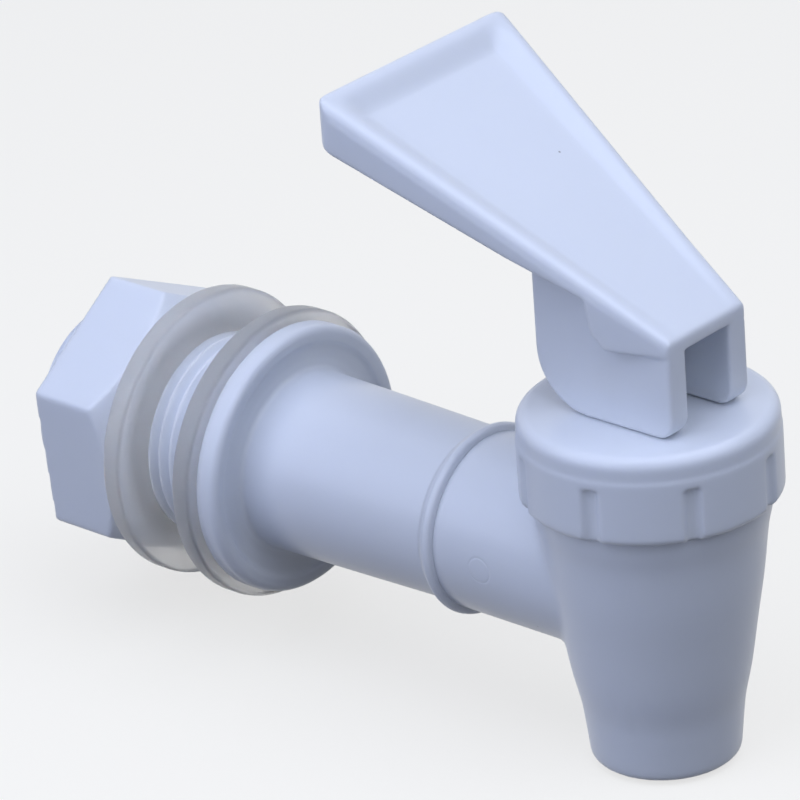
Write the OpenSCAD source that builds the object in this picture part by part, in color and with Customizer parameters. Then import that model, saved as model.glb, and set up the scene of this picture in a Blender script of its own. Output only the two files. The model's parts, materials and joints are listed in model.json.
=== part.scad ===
// Water dispenser spigot: threaded shank, spout with screwed cap, tilting lever.
// Lengths in mm. Origin: centre of the wall face (rear face of the front washer).
// +X runs from the wall along the arm to the outlet, +Z is up.

/* [Arm and shank] */
// Flange rear face to the axis of the stem
arm_l = 60; // [45:1:90]
// Inlet bore through the shank
bore_d = 16; // [12:0.5:17]
// Crest diameter of the shank thread
shank_d = 26.2; // [24:0.1:30]
// Shank length behind the flange
shank_l = 32; // [28:0.1:60]
// Flange diameter
flange_d = 34.8; // [30:0.2:44]
// Flange thickness
flange_t = 3.2; // [2:0.1:6]
// Tube diameter next to the flange
tube_d = 23.4; // [21:0.1:26]
// Tube diameter before the lip
tube_end_d = 22.2; // [21:0.1:25]
// Flange rear face to the open end of the tube
tube_l = 34; // [28:0.5:50]
// Crest diameter of the rolled lip
lip_d = 24.8; // [23:0.1:28]
// Radius of the lip's rounding
lip_r = 1.1; // [0.6:0.1:1.6]
// Depth of the socket that takes the spout's spigot
socket_depth = 14; // [8:0.5:20]
// Wall of the tube around the socket
socket_wall = 1.8; // [1.2:0.1:2.4]

/* [Spout] */
// Branch diameter in front of the lip
branch_d = 22.4; // [20:0.1:24]
// Cup diameter at the shoulder under the cap
shoulder_d = 29.3; // [28:0.1:34]
// Height of the shoulder above the arm axis
shoulder_z = 11.3; // [10:0.1:14]
// Cup diameter just below the shoulder flare
cup_d = 27.5; // [26:0.1:30]
// Height where the shoulder flare ends
flare_z = 6.3; // [4:0.1:9]
// Cup diameter at the outlet collar
collar_d = 19.7; // [18:0.1:22]
// Depth of the outlet collar below the arm axis
collar_depth = 17.8; // [14:0.1:24]
// Outside diameter at the outlet tip
tip_d = 18.4; // [16:0.1:20]
// Depth of the outlet tip below the arm axis
tip_depth = 23.85; // [19:0.05:40]
// Outlet bore diameter
outlet_d = 14.8; // [10:0.1:15.5]
// Length of the parallel outlet bore
outlet_l = 11; // [6:0.5:20]
// Outside diameter of the threaded neck
neck_d = 26.6; // [24:0.1:28]
// Height of the neck's rim above the arm axis
rim_z = 18.5; // [16:0.1:22]
// Wall of the cup around the chamber
cup_wall = 2; // [1.4:0.1:3]
// Depth of the chamber floor below the arm axis
floor_depth = 9.6; // [9:0.1:12]
// Diameter of the opening in the valve seat
orifice_d = 11.6; // [8:0.1:13]
// Height of the raised seat ring
seat_h = 1.2; // [0.6:0.1:1.6]

/* [Cap] */
// Outside diameter of the cap
cap_d = 32; // [30:0.1:40]
// Thickness of the cap's top wall
cap_top_t = 2.4; // [1.6:0.1:3.5]
// Rounding of the cap's top edge
cap_edge_r = 1.6; // [0.5:0.1:2.4]
// Number of grip notches
notch_n = 8; // [4:1:16]
// Width of a grip notch
notch_w = 2.3; // [1:0.1:4]
// Depth of a grip notch
notch_depth = 0.8; // [0.4:0.1:1.2]
// Height of the notches' closed top above the arm axis
notch_top_z = 18.3; // [14:0.1:20]
// Angle of the first notch about the stem axis
notch_phase = 12.5; // [0:0.5:45]

/* [Lever] */
// Tilt of the paddle at rest
tilt = 29.5; // [15:0.5:45]
// Paddle reach behind the stem axis
reach = 34.7; // [25:0.1:50]
// Paddle nose in front of the stem axis
nose = 9.8; // [8:0.1:14]
// Height of the paddle's top edge at the nose, above the cap
nose_h = 12.75; // [11:0.05:18]
// Paddle width at the nose
nose_w = 14; // [12:0.2:20]
// Paddle width at the wide end
wide_w = 33.8; // [24:0.2:44]
// Corner radius of the paddle in plan
corner_r = 1.7; // [1:0.1:6]
// Rounding of the wide end's top edge
rim_r = 0.8; // [0.3:0.1:1.5]
// Depth of the skirt at the wide end
skirt_h = 6.5; // [4:0.1:9]
// Depth of the skirt where it reaches the cheeks
skirt_front_h = 3.85; // [3:0.05:6]
// Depth of the skirt above the step in front of it
skirt_step_h = 2.1; // [1.2:0.1:3]
// Wall of the skirt
skirt_t = 1.9; // [1.2:0.1:3]
// Thickness of the paddle at the nose
plate_t = 2; // [1.4:0.1:3]
// Depth of the thumb dish at the wide end
dish_depth = 1.3; // [0:0.1:2]
// Land left around the thumb dish
dish_land = 1.5; // [1:0.1:4]
// Width of the dish's sloping end
dish_slope = 3.4; // [1:0.1:6]
// Width over the two cheeks
cheek_w = 13.7; // [12:0.1:18]
// Slot between the cheeks
slot_w = 8; // [6:0.1:9]
// Radius of the heel that rolls on the cap
heel_r = 7.5; // [6:0.1:9]
// Heel centre behind the stem axis
heel_back = 3.3; // [0:0.1:4]
// Radius of the cheeks' front lower corner
toe_r = 2.5; // [1:0.1:4]
// Height of the pivot above the cap
pivot_h = 5.6; // [4.5:0.1:7]

/* [Stem and seal] */
// Diameter of the stem
stem_d = 6; // [5:0.1:6.2]
// Diameter of the stem's pivot pins
trunnion_d = 4; // [3:0.1:5]
// Diameter of the eye that carries the pivot pins
eye_d = 6.8; // [6:0.1:8]
// Width of the eye between the cheeks
eye_w = 6.3; // [5:0.1:7]
// Diameter of the spring's seat on the stem
spring_seat_d = 10.8; // [9:0.1:12]
// Height of the spring's seat above the arm axis
spring_seat_z = 3.4; // [1:0.1:6]
// Wire diameter of the spring
wire_d = 1; // [0.6:0.1:1.4]
// Mean diameter of the spring's coils
coil_d = 9; // [8:0.1:10.4]
// Number of coils
coils = 8; // [4:1:12]
// Wall of the seal's bell
bell_t = 1.3; // [0.8:0.1:2]
// Thickness of the seal's clamped rim
seal_rim_t = 1.7; // [1:0.1:2.5]
// Diameter of the barb on the stem's foot
barb_d = 8.4; // [7:0.1:10]

/* [Nut and washers] */
// Nut size across the flats
nut_af = 32.3; // [30:0.1:40]
// Nut length with its collar
nut_l = 12.8; // [8:0.1:20]
// Collar length on the nut's washer side
nut_collar_l = 1.2; // [0.5:0.1:3]
// Angle of the nut's first corner from +Y
nut_turn = 34.4; // [0:0.1:60]
// Washer diameter
washer_d = 37.5; // [32:0.1:48]
// Washer thickness
washer_t = 2.85; // [1:0.05:5]
// Edge rounding of the washers
washer_edge_r = 0.8; // [0.2:0.1:1.2]
// Gap between the two washers, which takes the wall
wall_gap = 9.05; // [3:0.05:14]

/* [Clearances] */
// Radial gap of a running pin or stem
run_gap = 0.05; // [0.02:0.01:0.15]
// Radial gap of threads and loose holes
thread_gap = 0.15; // [0.05:0.01:0.4]
// Gap between faces that meet without pressing
face_gap = 0.1; // [0.02:0.01:0.3]

/* [Hidden] */
$fn = 96;
eps = 0.5;
white = [0.86, 0.88, 0.92];
grey = [0.62, 0.63, 0.62];
steel = [0.7, 0.7, 0.72];

// Stations along the arm
flange_x = washer_t;
stem_x = flange_x + arm_l;
tube_end_x = flange_x + tube_l;
socket_x = tube_end_x - socket_depth;
shank_end_x = flange_x - shank_l;
washer2_x = -wall_gap;
nut_x = washer2_x - washer_t - face_gap;
nut_end_x = nut_x - nut_l;

// Radii that follow from their neighbours
socket_r = tube_end_d / 2 - socket_wall;
spigot_r = socket_r - face_gap;
spigot_bore_r = min(bore_d / 2, spigot_r - 1.4);
neck_r = neck_d / 2;
chamber_r = neck_r - cup_wall;
cap_r = cap_d / 2;
cap_bore_r = neck_r + thread_gap;
cap_under_z = rim_z + seal_rim_t + face_gap;
cap_top_z = cap_under_z + cap_top_t;
stem_r = stem_d / 2;
stem_hole_r = stem_r + 2 * thread_gap;
outlet_r = outlet_d / 2;
orifice_r = orifice_d / 2;
floor_r = collar_d / 2 + (floor_depth < collar_depth ? (cup_d - collar_d) / 2
  * (collar_depth - floor_depth) / (collar_depth + flare_z) : 0) - cup_wall;

// Lever places, from the stem axis and the arm axis
slope = tan(tilt);
nose_z = cap_top_z + nose_h;
wide_z = nose_z + (nose + reach) * slope;
pivot_z = cap_top_z + pivot_h;
heel_z = cap_top_z + face_gap + heel_r;
toe_z = cap_top_z + face_gap + toe_r;
cheek_front = nose + 0.1;
roof_drop = plate_t + dish_depth / cos(tilt);
roof_slope = (wide_z - roof_drop - nose_z + plate_t) / (nose + reach);
step_x = -0.8;
block_drop = plate_t + 0.12;

// Spring and seal places
socket_floor_t = 1.3;
seal_z = -floor_depth + seat_h;
spring_seat_t = 1.3;
barb_z = spring_seat_z - spring_seat_t - 3;

wire_sides = 6;
arc_steps = 6;

// Unit vector of v
function unit(v) = v / norm(v);

// Half the angle at corner i of outline p
function half_angle(p, i) = let (n = len(p), c = p[i])
  acos(unit(p[(i + n - 1) % n] - c) * unit(p[(i + 1) % n] - c)) / 2;

// Centre of a rounding of radius r at corner i of outline p
function round_centre(p, i, r) = let (n = len(p), c = p[i],
  a = unit(p[(i + n - 1) % n] - c), b = unit(p[(i + 1) % n] - c))
  c + unit(a + b) * r / sin(half_angle(p, i));

// The two points where a rounding of radius r leaves the sides at corner i
function round_ends(p, i, r) = let (n = len(p), c = p[i], t = r / tan(half_angle(p, i)))
  [c + unit(p[(i + n - 1) % n] - c) * t, c + unit(p[(i + 1) % n] - c) * t];

// Convex outline p with corner radii r, as true arcs
module rounded(p, r) {
  polygon([for (i = [0 : len(p) - 1]) each (r[i] > 0 ? round_ends(p, i, r[i]) : [p[i]])]);
  for (i = [0 : len(p) - 1]) {
    if (r[i] > 0) {
      translate(round_centre(p, i, r[i])) circle(r = r[i]);
    }
  }
}

// Points of an arc about c from angle a0 to angle a1
function arc(c, r, a0, a1) = [for (i = [0 : arc_steps])
  let (a = a0 + (a1 - a0) * i / arc_steps) c + r * [cos(a), sin(a)]];

// Turns a profile of (station, radius) points about the arm axis
module about_arm() {
  rotate([0, 90, 0]) rotate_extrude() mirror([1, -1, 0]) children();
}

// Extrudes a side profile of (x, z) points to width w, centred on the arm
module side_plate(w) {
  rotate([90, 0, 0]) translate([0, 0, -w / 2]) linear_extrude(w) children();
}

// Threaded shank, flange and tube with its rolled lip
module inlet_shank() {
  fillet_r = 2.8;
  edge_r = 1.2;
  end_chamfer = 0.95;
  lip_in = 0.75;
  lip_x = tube_end_x - lip_r * lip_in;
  lip_c = lip_d / 2 - lip_r;
  edge = [flange_x + flange_t - edge_r, flange_d / 2 - edge_r];
  root = [flange_x + flange_t + fillet_r, tube_d / 2 + fillet_r];
  color(white) difference() {
    about_arm() polygon(concat(
      [
        [shank_end_x, 0],
        [shank_end_x, shank_d / 2 - end_chamfer],
        [shank_end_x + end_chamfer, shank_d / 2],
        [flange_x, shank_d / 2],
        [flange_x, flange_d / 2]
      ],
      arc(edge, edge_r, 90, 0),
      arc(root, fillet_r, 180, 270),
      [[lip_x - 2 * lip_r, tube_end_d / 2]],
      arc([lip_x, lip_c], lip_r, 180, acos(lip_in)),
      [[tube_end_x, 0]]
    ));
    about_arm() {
      translate([shank_end_x - eps, 0]) square([shank_l + tube_l + 2 * eps, bore_d / 2]);
      translate([socket_x, 0]) square([socket_depth + eps, socket_r]);
    }
  }
}

// Profile of the cup, outside line, as (radius, height)
module cup_profile() {
  foot_r = 0.9;
  neck_edge = 0.5;
  polygon([
    [0, rim_z],
    [neck_r - neck_edge, rim_z],
    [neck_r, rim_z - neck_edge],
    [neck_r, shoulder_z],
    [shoulder_d / 2, shoulder_z],
    [shoulder_d / 2 - 0.35, shoulder_z - 2],
    [cup_d / 2, flare_z],
    [cup_d / 2 - 0.75, 0.3],
    [(cup_d * 0.55 + collar_d * 0.45) / 2 - 0.3, (flare_z - collar_depth) / 2 - 2],
    [collar_d / 2 + 0.75, -collar_depth + 3.6],
    [collar_d / 2, -collar_depth],
    [tip_d / 2, -tip_depth + foot_r],
    [tip_d / 2 - foot_r * 0.3, -tip_depth + foot_r * 0.25],
    [tip_d / 2 - foot_r, -tip_depth],
    [0, -tip_depth]
  ]);
}

// Profile of the chamber, the valve seat and the outlet, as (radius, height)
module waterway_profile() {
  ring_w = 1.2;
  throat_l = 3;
  polygon([
    [0, rim_z + eps],
    [chamber_r, rim_z + eps],
    [chamber_r, flare_z],
    [floor_r, -floor_depth],
    [orifice_r + ring_w + 0.5, -floor_depth],
    [orifice_r + ring_w, -floor_depth + seat_h],
    [orifice_r, -floor_depth + seat_h],
    [orifice_r, -floor_depth - throat_l + seat_h],
    [outlet_r, -tip_depth + outlet_l],
    [outlet_r, -tip_depth - eps],
    [0, -tip_depth - eps]
  ]);
}

// Cup with neck, branch and spigot in one moulding
module spout_body() {
  spigot_x = socket_x + 3 * face_gap;
  color(white) difference() {
    union() {
      translate([stem_x, 0, 0]) rotate_extrude() cup_profile();
      translate([tube_end_x, 0, 0]) rotate([0, 90, 0])
        cylinder(h = stem_x - tube_end_x, d = branch_d);
      translate([spigot_x, 0, 0]) rotate([0, 90, 0])
        cylinder(h = stem_x - spigot_x, r = spigot_r);
    }
    translate([stem_x, 0, 0]) rotate_extrude() waterway_profile();
    translate([spigot_x - eps, 0, 0]) rotate([0, 90, 0])
      cylinder(h = stem_x - spigot_x - floor_r / 2, r = spigot_bore_r);
  }
}

// Screwed cap with grip notches and the stem's hole
module bonnet_cap() {
  skirt_z = shoulder_z + face_gap;
  step_z = cap_top_z - 3.3;
  step = 0.12;
  top_r = cap_r - step;
  color(white) translate([stem_x, 0, 0]) difference() {
    rotate_extrude() difference() {
      union() {
        polygon([
          [0, skirt_z],
          [cap_r - 0.4, skirt_z],
          [cap_r, skirt_z + 0.4],
          [cap_r, step_z],
          [top_r, step_z],
          [top_r, cap_top_z - cap_edge_r],
          [top_r - cap_edge_r, cap_top_z - cap_edge_r],
          [top_r - cap_edge_r, cap_top_z],
          [0, cap_top_z]
        ]);
        translate([top_r - cap_edge_r, cap_top_z - cap_edge_r]) intersection() {
          circle(r = cap_edge_r);
          square(cap_edge_r);
        }
      }
      translate([0, skirt_z - eps]) square([cap_bore_r, cap_under_z - skirt_z + eps]);
      square([stem_hole_r, cap_top_z + eps]);
    }
    for (i = [0 : notch_n - 1]) {
      rotate([0, 0, notch_phase + i * 360 / notch_n])
        translate([cap_r - notch_depth, -notch_w / 2, skirt_z - eps])
        cube([notch_depth + eps, notch_w, notch_top_z - skirt_z + eps]);
    }
  }
}

// Soft seat cup: clamped rim, bell and plug with a socket for the barb
module seat_cup() {
  rim_bottom = rim_z + face_gap / 2;
  rim_top = cap_under_z - face_gap / 2;
  bell_r = chamber_r - 2;
  plug_r = orifice_r + 1.6;
  inner_r = bell_r - bell_t;
  floor_z = spring_seat_z - spring_seat_t - face_gap;
  g = face_gap;
  color(grey) translate([stem_x, 0, 0]) rotate_extrude() difference() {
    polygon([
      [0, rim_top],
      [neck_r - 0.2, rim_top],
      [neck_r - 0.2, rim_bottom],
      [chamber_r - 0.3, rim_bottom],
      [bell_r, rim_bottom - 1.4],
      [bell_r - 0.2, 2.5],
      [plug_r + 0.6, -2.5],
      [plug_r, -4],
      [plug_r, seal_z + 0.6 + face_gap],
      [plug_r - 0.6, seal_z + face_gap],
      [orifice_r - 0.5, seal_z + face_gap],
      [orifice_r - 1.6, seal_z - 1.2],
      [0, seal_z - 1.2]
    ]);
    polygon([
      [0, rim_top + eps],
      [inner_r, rim_top + eps],
      [inner_r - 0.2, floor_z + 1.5],
      [spring_seat_d / 2 + face_gap, floor_z],
      [0, floor_z]
    ]);
    polygon([
      [0, floor_z + eps],
      [stem_r - 0.4 + g, floor_z + eps],
      [stem_r - 0.4 + g, barb_z + g],
      [barb_d / 2 + g, barb_z + g],
      [barb_d / 2 + g, barb_z - 0.8],
      [stem_r - 0.6 + g, barb_z - 2.8 - g],
      [0, barb_z - 2.8 - g]
    ]);
  }
}

// Stem with its eye and pivot pins, the spring's seat and the barbed foot
module stem() {
  seat_t = spring_seat_t;
  pin_l = cheek_w - 2 * socket_floor_t - 4 * run_gap;
  color(white) translate([stem_x, 0, 0]) {
    rotate_extrude() polygon([
      [0, barb_z - 2.8],
      [stem_r - 0.6, barb_z - 2.8],
      [barb_d / 2, barb_z - 0.8],
      [barb_d / 2, barb_z],
      [stem_r - 0.4, barb_z],
      [stem_r - 0.4, spring_seat_z - seat_t],
      [spring_seat_d / 2 - 0.3, spring_seat_z - seat_t],
      [spring_seat_d / 2, spring_seat_z - seat_t + 0.3],
      [spring_seat_d / 2, spring_seat_z],
      [stem_r, spring_seat_z],
      [stem_r, pivot_z + eye_d / 4],
      [0, pivot_z + eye_d / 4]
    ]);
    translate([0, 0, pivot_z]) rotate([90, 0, 0]) {
      cylinder(h = eye_w, d = eye_d, center = true);
      cylinder(h = pin_l, d = trunnion_d, center = true);
    }
  }
}

// Point j of the wire's section at step i along the coil
function wire_point(i, j, steps, z0, z1) = let (
  s = i / steps,
  turn = s * coils * 360,
  ground = 1 / coils,
  rise = (s - sin(360 * s) * ground / 2 / PI * 3),
  a = j * 360 / wire_sides,
  r = coil_d / 2 + wire_d / 2 * cos(a)
) [r * cos(turn), r * sin(turn), z0 + (z1 - z0) * rise + wire_d / 2 * sin(a)];

// Coil spring between the seat on the stem and the cap
module spring() {
  per_turn = 16;
  steps = coils * per_turn;
  z0 = spring_seat_z + wire_d / 2 + face_gap;
  z1 = cap_under_z - wire_d / 2 - face_gap;
  points = [for (i = [0 : steps]) for (j = [0 : wire_sides - 1])
    wire_point(i, j, steps, z0, z1)];
  m = wire_sides;
  sides = [for (i = [0 : steps - 1]) for (j = [0 : m - 1]) each [
    [i * m + j, i * m + (j + 1) % m, (i + 1) * m + (j + 1) % m],
    [i * m + j, (i + 1) * m + (j + 1) % m, (i + 1) * m + j]
  ]];
  first = [for (j = [0 : m - 1]) m - 1 - j];
  last = [for (j = [0 : m - 1]) steps * m + j];
  color(steel) translate([stem_x, 0, 0]) polyhedron(points, concat([first], sides, [last]));
}

// Half the paddle's width at station x
function half_w(x) = (nose_w + (wide_w - nose_w) * (nose - x) / (nose + reach)) / 2;

// Height of the roof over the slot and the hollow at station x
function roof_z(x) = nose_z - plate_t + (nose - x) * roof_slope;

// Height of the paddle's top at station x
function top_z(x) = nose_z + (nose - x) * slope;

// Plan outline of the paddle, drawn in by d
module paddle_plan(d) {
  k = (wide_w - nose_w) / 2 / (nose + reach);
  s = d * sqrt(1 + k * k);
  r = max(corner_r - d, 0.4);
  rounded([
    [nose - d, half_w(nose - d) - s],
    [-reach + d, half_w(-reach + d) - s],
    [-reach + d, -half_w(-reach + d) + s],
    [nose - d, -half_w(nose - d) + s]
  ], [0, r, r, 0]);
}

// Side profile of the paddle: skirt, step and nose block
module paddle_side() {
  heel_x = -reach + 1.6;
  rear = -heel_back - heel_r;
  polygon(concat(
    [[nose + eps, top_z(nose + eps)]],
    arc([rim_r - reach, top_z(rim_r - reach) - rim_r / cos(tilt)], rim_r, 90 - tilt, 180),
    [
      [-reach, top_z(-reach) - skirt_h + 1.1],
      [-reach + 0.6, top_z(-reach + 0.6) - skirt_h + 0.3],
      [heel_x, top_z(heel_x) - skirt_h],
      [rear, top_z(rear) - skirt_front_h],
      [step_x, top_z(step_x) - skirt_step_h],
      [step_x + 0.4, top_z(step_x) - skirt_step_h - 0.6],
      [step_x + 0.7, nose_z + 0.5],
      [step_x + 1.5, nose_z - 0.9],
      [step_x + 2.6, nose_z - block_drop + 0.3],
      [step_x + 3.7, nose_z - block_drop],
      [nose + eps, nose_z - plate_t]
    ]
  ));
}

// Side profile of a cheek: heel, flat sole, toe and front
module cheek_side() {
  rear = -heel_back - heel_r;
  rounded([
    [rear, cap_top_z + face_gap],
    [cheek_front, cap_top_z + face_gap],
    [cheek_front, nose_z - plate_t + 0.6],
    [rear, top_z(rear) - plate_t]
  ], [heel_r, toe_r, 0, 0]);
}

// Thumb dish: a wedge that deepens towards the wide end, in the paddle's plane
module thumb_dish() {
  l = (nose + reach) / cos(tilt);
  run = (wide_w - nose_w) / 2 / l;
  start = dish_land + 1;
  end = l - dish_land;
  deep = end - dish_slope;
  w0 = nose_w / 2 + run * start - dish_land;
  w1 = nose_w / 2 + run * end - dish_land;
  w2 = nose_w / 2 + run * deep - dish_land - dish_slope * 0.85;
  up = 1;
  translate([nose, 0, nose_z]) rotate([0, tilt, 0]) mirror([1, 0, 0]) polyhedron([
    [start, w0, 0],
    [start, -w0, 0],
    [end, -w1, 0],
    [end, w1, 0],
    [start, w0, up],
    [start, -w0, up],
    [end, -w1, up],
    [end, w1, up],
    [deep, -w2, -dish_depth],
    [deep, w2, -dish_depth]
  ], [
    [7, 6, 5, 4],
    [4, 5, 1, 0],
    [5, 6, 2, 1],
    [6, 7, 3, 2],
    [7, 4, 0, 3],
    [1, 8, 9, 0],
    [2, 8, 1],
    [3, 9, 8, 2],
    [9, 3, 0]
  ]);
}

// Hollow paddle, open below behind the nose block
module paddle() {
  back = step_x - 1.4;
  difference() {
    intersection() {
      linear_extrude(wide_z + eps) paddle_plan(0);
      side_plate(wide_w + 2) paddle_side();
    }
    intersection() {
      linear_extrude(wide_z + eps) paddle_plan(skirt_t);
      side_plate(wide_w + 2) polygon([
        [back, roof_z(back)],
        [-reach - eps, roof_z(-reach - eps)],
        [-reach - eps, cap_top_z],
        [back, cap_top_z]
      ]);
    }
    thumb_dish();
  }
}

// Lever: paddle on two cheeks with blind sockets for the pivot pins
module lever() {
  rear = -heel_back - heel_r - eps;
  front = cheek_front + eps;
  socket_l = cheek_w - 2 * socket_floor_t;
  color(white) translate([stem_x, 0, 0]) difference() {
    union() {
      paddle();
      side_plate(cheek_w) cheek_side();
    }
    side_plate(slot_w) polygon([
      [front, roof_z(front)],
      [rear, roof_z(rear)],
      [rear, cap_top_z - eps],
      [front, cap_top_z - eps]
    ]);
    translate([0, 0, pivot_z]) rotate([90, 0, 0])
      cylinder(h = socket_l, r = trunnion_d / 2 + run_gap, center = true);
  }
}

// Flat ring with rounded edges, front face at x
module washer(x) {
  r = washer_edge_r;
  in_r = shank_d / 2 + thread_gap;
  out_r = washer_d / 2;
  color(grey) about_arm() {
    polygon([
      [x, in_r],
      [x, out_r - r],
      [x - r, out_r - r],
      [x - r, out_r],
      [x - washer_t + r, out_r],
      [x - washer_t + r, out_r - r],
      [x - washer_t, out_r - r],
      [x - washer_t, in_r]
    ]);
    translate([x - r, out_r - r]) intersection() {
      circle(r = r);
      square(r);
    }
    translate([x - washer_t + r, out_r - r]) intersection() {
      circle(r = r);
      translate([-r, 0]) square(r);
    }
  }
}

// Washer between the flange and the wall
module washer_front() {
  washer(flange_x);
}

// Washer between the wall and the nut
module washer_rear() {
  washer(washer2_x);
}

// Hexagon nut with chamfered corners and a round collar
module hex_nut() {
  corner_r = nut_af / 2 / cos(30);
  chamfer_l = 2.3;
  edge = 0.3;
  collar_r = nut_af / 2 - 0.3;
  bore_r = shank_d / 2 + thread_gap;
  color(white) difference() {
    union() {
      intersection() {
        translate([nut_x - nut_collar_l, 0, 0]) rotate([nut_turn, 0, 0]) rotate([0, -90, 0])
          rotate([0, 0, 90]) cylinder(h = nut_l - nut_collar_l, r = corner_r, $fn = 6);
        about_arm() polygon([
          [nut_end_x, 0],
          [nut_end_x, corner_r - edge],
          [nut_end_x + edge, corner_r + 0.01],
          [nut_x - nut_collar_l - chamfer_l, corner_r + 0.01],
          [nut_x - nut_collar_l, collar_r + 0.1],
          [nut_x - nut_collar_l, 0]
        ]);
      }
      about_arm() translate([nut_x - nut_collar_l - 1, 0]) square([nut_collar_l + 1, collar_r]);
    }
    about_arm() translate([nut_end_x - eps, 0]) square([nut_l + 2 * eps, bore_r]);
  }
}

inlet_shank();
spout_body();
bonnet_cap();
seat_cup();
spring();
stem();
lever();
washer_front();
washer_rear();
hex_nut();
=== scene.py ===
"""Water dispenser spigot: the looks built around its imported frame.

Lengths in the script are millimetres and are made metres when a piece is finished.
"""

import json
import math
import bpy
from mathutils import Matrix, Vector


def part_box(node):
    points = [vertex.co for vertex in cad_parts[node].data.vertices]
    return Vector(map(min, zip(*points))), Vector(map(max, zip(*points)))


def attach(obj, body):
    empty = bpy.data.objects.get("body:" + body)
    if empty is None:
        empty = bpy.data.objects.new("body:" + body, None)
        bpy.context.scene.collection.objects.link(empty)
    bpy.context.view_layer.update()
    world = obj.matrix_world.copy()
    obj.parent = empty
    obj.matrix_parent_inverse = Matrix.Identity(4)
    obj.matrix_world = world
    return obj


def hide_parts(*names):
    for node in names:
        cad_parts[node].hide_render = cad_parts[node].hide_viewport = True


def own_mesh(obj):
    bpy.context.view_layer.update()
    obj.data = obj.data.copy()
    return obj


bl_info = {
    "name": "Water dispenser spigot",
    "version": (1, 0, 0),
    "blender": (4, 5, 0),
    "location": "View3D > Sidebar > Spigot",
    "description": "Builds a moulded plastic dispenser tap with its lever, nut and washers",
    "category": "Object",
}

from contextlib import contextmanager

import bpy
from mathutils import Matrix, Vector

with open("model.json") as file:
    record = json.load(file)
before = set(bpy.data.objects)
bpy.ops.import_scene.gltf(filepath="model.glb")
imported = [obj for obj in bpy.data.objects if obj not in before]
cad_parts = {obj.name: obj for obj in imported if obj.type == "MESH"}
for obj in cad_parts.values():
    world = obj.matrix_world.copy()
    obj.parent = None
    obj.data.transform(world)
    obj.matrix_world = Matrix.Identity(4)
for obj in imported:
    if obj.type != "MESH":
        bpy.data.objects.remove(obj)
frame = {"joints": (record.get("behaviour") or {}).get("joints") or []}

MM = 0.001
MERGE = 0.0005  # points nearer than this are one


def box_mm(node):
    """Lowest and highest corner of a CAD node, in millimetres."""
    low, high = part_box(node)
    return low / MM, high / MM


# Places read from the frame
CAP_LOW, CAP_HIGH = box_mm("bonnet_cap")
SHANK_LOW, SHANK_HIGH = box_mm("inlet_shank")
SPOUT_LOW, SPOUT_HIGH = box_mm("spout_body")
NUT_LOW, NUT_HIGH = box_mm("hex_nut")
WASHER_F_LOW, WASHER_F_HIGH = box_mm("washer_front")
WASHER_R_LOW, WASHER_R_HIGH = box_mm("washer_rear")
STEM_LOW, STEM_HIGH = box_mm("stem")
SEAL_LOW, SEAL_HIGH = box_mm("seat_cup")
SPRING_LOW, SPRING_HIGH = box_mm("spring")

STEM_X = (CAP_LOW.x + CAP_HIGH.x) / 2
CAP_TOP = CAP_HIGH.z
CAP_R = (CAP_HIGH.x - CAP_LOW.x) / 2
FLANGE_X = WASHER_F_HIGH.x
RIM_Z = SPOUT_HIGH.z
JOINTS = {joint["name"]: joint for joint in frame["joints"]}
PIVOT_Z = JOINTS["lever_tilt"]["pos_m"][2] / MM


class SpigotSizes(bpy.types.PropertyGroup):
    """Sizes that shape the moulded pieces"""

    tilt: bpy.props.FloatProperty(
        name="Paddle tilt", description="Tilt of the paddle at rest",
        default=math.radians(29.5), subtype="ANGLE",
    )
    reach: bpy.props.FloatProperty(
        name="Paddle reach", description="Wide end behind the stem axis, in mm", default=34.75,
    )
    nose: bpy.props.FloatProperty(
        name="Paddle nose", description="Nose in front of the stem axis, in mm", default=9.8,
    )
    nose_w: bpy.props.FloatProperty(
        name="Nose width", description="Paddle width at the nose, in mm", default=14.5,
    )
    wide_w: bpy.props.FloatProperty(
        name="Wide end", description="Paddle width at the wide end, in mm", default=35.0,
    )
    skirt_h: bpy.props.FloatProperty(
        name="Skirt", description="Depth of the skirt at the wide end, in mm", default=6.2,
    )
    dish_depth: bpy.props.FloatProperty(
        name="Thumb dish", description="Depth of the thumb dish, in mm", default=1.3,
    )
    pitch: bpy.props.FloatProperty(
        name="Thread pitch", description="Pitch of the shank's thread, in mm", default=1.814,
    )
    thread_depth: bpy.props.FloatProperty(
        name="Thread depth", description="Depth of the shank's thread, in mm", default=1.1,
    )
    notch_w: bpy.props.FloatProperty(
        name="Notch width", description="Width of the cap's grip notches, in mm", default=2.3,
    )
    notch_depth: bpy.props.FloatProperty(
        name="Notch depth", description="Depth of the cap's grip notches, in mm", default=0.8,
    )
    notch_top: bpy.props.FloatProperty(
        name="Notch top", description="Closed top of the notches below the cap's top, in mm",
        default=4.4,
    )
    voxel: bpy.props.FloatProperty(
        name="Surface cell", description="Cell size of the soft moulded surfaces, in mm",
        default=0.26,
    )


class SpigotColours(bpy.types.PropertyGroup):
    """Colours of the finishes"""

    plastic: bpy.props.FloatVectorProperty(
        name="Plastic", description="Colour of the moulded plastic", size=3, subtype="COLOR",
        default=(0.80, 0.83, 0.88), min=0, max=1,
    )
    silicone: bpy.props.FloatVectorProperty(
        name="Silicone", description="Colour of washers and seal", size=3, subtype="COLOR",
        default=(0.94, 0.93, 0.92), min=0, max=1,
    )
    steel: bpy.props.FloatVectorProperty(
        name="Spring steel", description="Colour of the spring", size=3, subtype="COLOR",
        default=(0.56, 0.56, 0.57), min=0, max=1,
    )
    floor: bpy.props.FloatVectorProperty(
        name="Floor", description="Colour of the floor", size=3, subtype="COLOR",
        default=(0.95, 0.90, 0.76), min=0, max=1,
    )


# Small tools

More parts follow.
